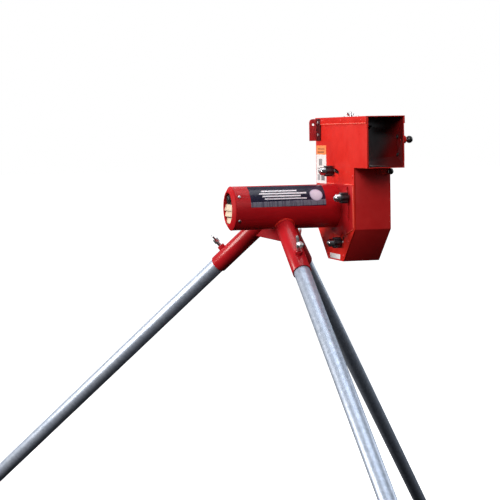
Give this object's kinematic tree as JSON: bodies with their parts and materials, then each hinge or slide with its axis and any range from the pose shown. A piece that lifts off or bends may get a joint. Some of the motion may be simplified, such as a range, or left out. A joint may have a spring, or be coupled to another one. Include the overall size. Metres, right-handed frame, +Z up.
{
  "type": "ball pitching machine",
  "caption": "Single-wheel ball pitching machine: motor tube, tilting wheel head with ball duct, three splayed socketed legs.",
  "frame": {"origin": "on the floor, in plan midway between the outermost points of the three feet, under the motor tube", "axes": "+Z up; +X along the motor tube from its control end to the wheel head; the ball leaves towards -Y"},
  "size_m": [1.923, 2.8714, 1.4463],
  "materials": {
    "red_paint": "gloss powder coat",
    "dark_red_paint": "satin paint",
    "zinc_plate": "bright zinc plate",
    "ground_steel": "ground",
    "galvanised_tube": "satin galvanised",
    "black_plastic": "fine grain",
    "knob_black": "moulded, semi-gloss",
    "cream_plastic": "moulded",
    "decal": "printed film",
    "label_film": "printed film",
    "silver_film": "satin foil",
    "motor_black": "satin black enamel",
    "ferrite": "sintered",
    "cast_alloy": "die cast",
    "circuit_board": "solder mask",
    "windings": "varnished copper",
    "tyre": "moulded rubber",
    "black_rubber": "moulded rubber"
  },
  "bodies": {
    "stand": {"motor_tube": "red_paint", "head_flange": "zinc_plate", "end_bezel": "red_paint", "end_panel": "black_plastic", "vent_louvers": "cream_plastic", "bezel_screws": "zinc_plate", "cord_gland": "black_plastic", "side_decal": "decal", "leg_sockets": "red_paint", "socket_gussets": "red_paint", "clamp_bosses": "red_paint", "lock_studs": "zinc_plate", "motor_can": "motor_black", "motor_magnets": "ferrite", "motor_end_bell": "cast_alloy", "motor_bolts": "zinc_plate", "speed_controller": "circuit_board"},
    "wheel": {"armature": "windings", "motor_shaft": "ground_steel", "wheel_hub": "cast_alloy", "tyre": "tyre", "hub_nut": "zinc_plate"},
    "front_leg": {"leg_front": "galvanised_tube", "foot_front": "black_rubber"},
    "left_leg": {"leg_left": "galvanised_tube", "foot_left": "black_rubber"},
    "right_leg": {"leg_right": "galvanised_tube", "foot_right": "black_rubber"},
    "front_clamp": {"clamp_bolt_front": "zinc_plate"},
    "left_clamp": {"clamp_bolt_left": "zinc_plate"},
    "right_clamp": {"clamp_bolt_right": "zinc_plate"},
    "dial": {"speed_dial": "black_plastic"},
    "switch": {"power_switch": "black_plastic"},
    "upper_knob": {"lock_knob_upper": "knob_black"},
    "side_knob": {"lock_knob_side": "knob_black"},
    "lower_knob": {"lock_knob_lower": "knob_black"},
    "head": {"side_plate": "red_paint", "pivot_doubler": "red_paint", "wheel_guard": "red_paint", "guard_rivets": "red_paint", "ball_duct": "red_paint", "duct_lid": "red_paint", "lid_screws": "red_paint", "feed_bracket": "dark_red_paint", "feed_bracket_screws": "zinc_plate", "warning_label": "label_film", "rating_plate": "silver_film", "plunger_plate": "red_paint", "plunger_plate_bolts": "zinc_plate", "latch_pivot": "red_paint"},
    "pad": {"pad_plate": "zinc_plate", "pressure_pad": "black_rubber", "pad_studs": "zinc_plate"},
    "wing_nut": {"pad_wing_nut": "zinc_plate"},
    "plunger": {"plunger_pin": "ground_steel", "plunger_ball": "knob_black"},
    "latch": {"latch_lever": "red_paint", "latch_ball": "knob_black"}
  },
  "joints": [
    {"name": "wheel_spin", "type": "hinge", "parent": "stand", "child": "wheel", "pos_m": [0.2003, 0.13109, 1.2], "axis": [1, 0, 0], "continuous": true},
    {"name": "head_tilt", "type": "hinge", "parent": "stand", "child": "head", "pos_m": [0.1498, 0.13109, 1.2], "axis": [-1, 0, 0], "range_deg": [-10, 25]},
    {"name": "front_leg_slide", "type": "slide", "parent": "stand", "child": "front_leg", "axis": [0, -0.7912, -0.6115], "range_m": [-0.015, 0.08]},
    {"name": "left_leg_slide", "type": "slide", "parent": "stand", "child": "left_leg", "axis": [-0.474, 0.6336, -0.6115], "range_m": [-0.015, 0.08]},
    {"name": "right_leg_slide", "type": "slide", "parent": "stand", "child": "right_leg", "axis": [0.474, 0.6336, -0.6115], "range_m": [-0.015, 0.08]},
    {"name": "front_clamp_turn", "type": "hinge", "parent": "stand", "child": "front_clamp", "pos_m": [0, -0.00759, 1.0709], "axis": [-0.0872, -0.6092, 0.7882], "range_deg": [0, 720]},
    {"name": "left_clamp_turn", "type": "hinge", "parent": "stand", "child": "left_clamp", "pos_m": [-0.10095, 0.29194, 1.06784], "axis": [-0.5611, 0.3179, 0.7643], "range_deg": [0, 720]},
    {"name": "right_clamp_turn", "type": "hinge", "parent": "stand", "child": "right_clamp", "pos_m": [0.10095, 0.29194, 1.06784], "axis": [0.1466, 0.628, 0.7643], "range_deg": [0, 720]},
    {"name": "speed_dial_turn", "type": "hinge", "parent": "stand", "child": "dial", "pos_m": [-0.1349, 0.11709, 1.2235], "axis": [-1, 0, 0], "range_deg": [0, 270]},
    {"name": "power_rocker", "type": "hinge", "parent": "stand", "child": "switch", "pos_m": [-0.1354, 0.14609, 1.223], "axis": [0, 1, 0], "range_deg": [0, 14]},
    {"name": "upper_knob_turn", "type": "hinge", "parent": "stand", "child": "upper_knob", "pos_m": [0.1276, 0.14389, 1.2911], "axis": [-1, 0, 0], "range_deg": [0, 720]},
    {"name": "side_knob_turn", "type": "hinge", "parent": "stand", "child": "side_knob", "pos_m": [0.1276, 0.01713, 1.22422], "axis": [-1, 0, 0], "range_deg": [0, 720]},
    {"name": "lower_knob_turn", "type": "hinge", "parent": "stand", "child": "lower_knob", "pos_m": [0.1276, 0.08412, 1.10497], "axis": [-1, 0, 0], "range_deg": [0, 720]},
    {"name": "pad_lift", "type": "slide", "parent": "head", "child": "pad", "axis": [0, 0, 1], "range_m": [0, 0.0074]},
    {"name": "wing_nut_turn", "type": "hinge", "parent": "head", "child": "wing_nut", "pos_m": [0.2003, 0.14109, 1.4363], "axis": [0, 0, -1], "range_deg": [0, 2160]},
    {"name": "plunger_pull", "type": "slide", "parent": "head", "child": "plunger", "axis": [1, 0, 0], "range_m": [0, 0.009], "stiffness_N_per_m": 600, "springref_m": -0.008},
    {"name": "latch_turn", "type": "hinge", "parent": "head", "child": "latch", "pos_m": [0.2166, -0.02391, 1.291], "axis": [0, 1, 0], "range_deg": [0, 85]}
  ],
  "couplings": [
    {"joint": "wing_nut_turn", "follows": "pad_lift", "rad_per_m": 5026.5}
  ]
}
